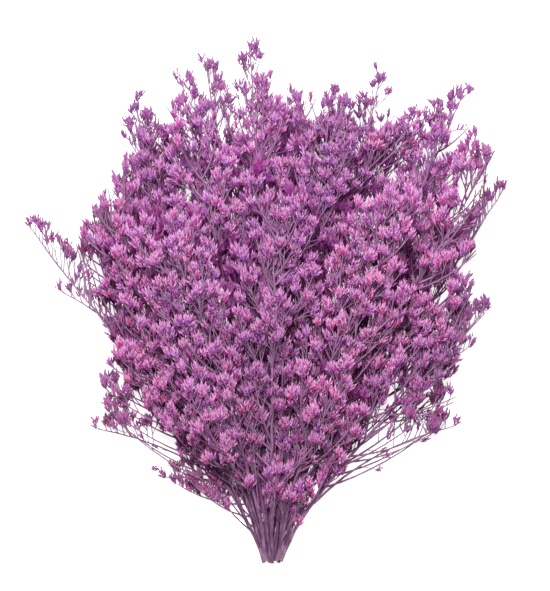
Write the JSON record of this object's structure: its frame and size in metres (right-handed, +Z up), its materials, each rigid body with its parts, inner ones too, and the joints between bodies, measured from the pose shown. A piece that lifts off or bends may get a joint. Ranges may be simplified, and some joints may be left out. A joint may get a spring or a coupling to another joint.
{
  "type": "dried statice bunch",
  "caption": "Flattened fan-shaped bunch of dyed dried statice sprays lying on a surface, with bare cut stems at the foot and a wide crown of small flower spikes.",
  "frame": {"origin": "middle of the footprint, on the surface that the bunch lies on", "axes": "+Y from the cut ends to the top of the crown, +X across the fan, +Z up from the surface"},
  "size_m": [0.425, 0.4506, 0.1659],
  "materials": {
    "pink_spray": "pink dyed dried stems and papery flowers, matte",
    "orchid_spray": "orchid dyed dried stems and papery flowers, matte",
    "plum_spray": "plum dyed dried stems and papery flowers, matte"
  },
  "bodies": {
    "root": {"spray_01": "pink_spray", "spray_02": "orchid_spray", "spray_03": "plum_spray", "spray_04": "pink_spray", "spray_05": "orchid_spray", "spray_06": "plum_spray", "spray_07": "pink_spray", "spray_08": "orchid_spray", "spray_09": "plum_spray", "spray_10": "pink_spray", "spray_11": "orchid_spray", "spray_12": "plum_spray", "spray_13": "pink_spray", "spray_14": "orchid_spray", "spray_15": "plum_spray", "spray_16": "pink_spray", "spray_17": "orchid_spray", "spray_18": "plum_spray", "spray_19": "pink_spray"}
  },
  "joints": []
}
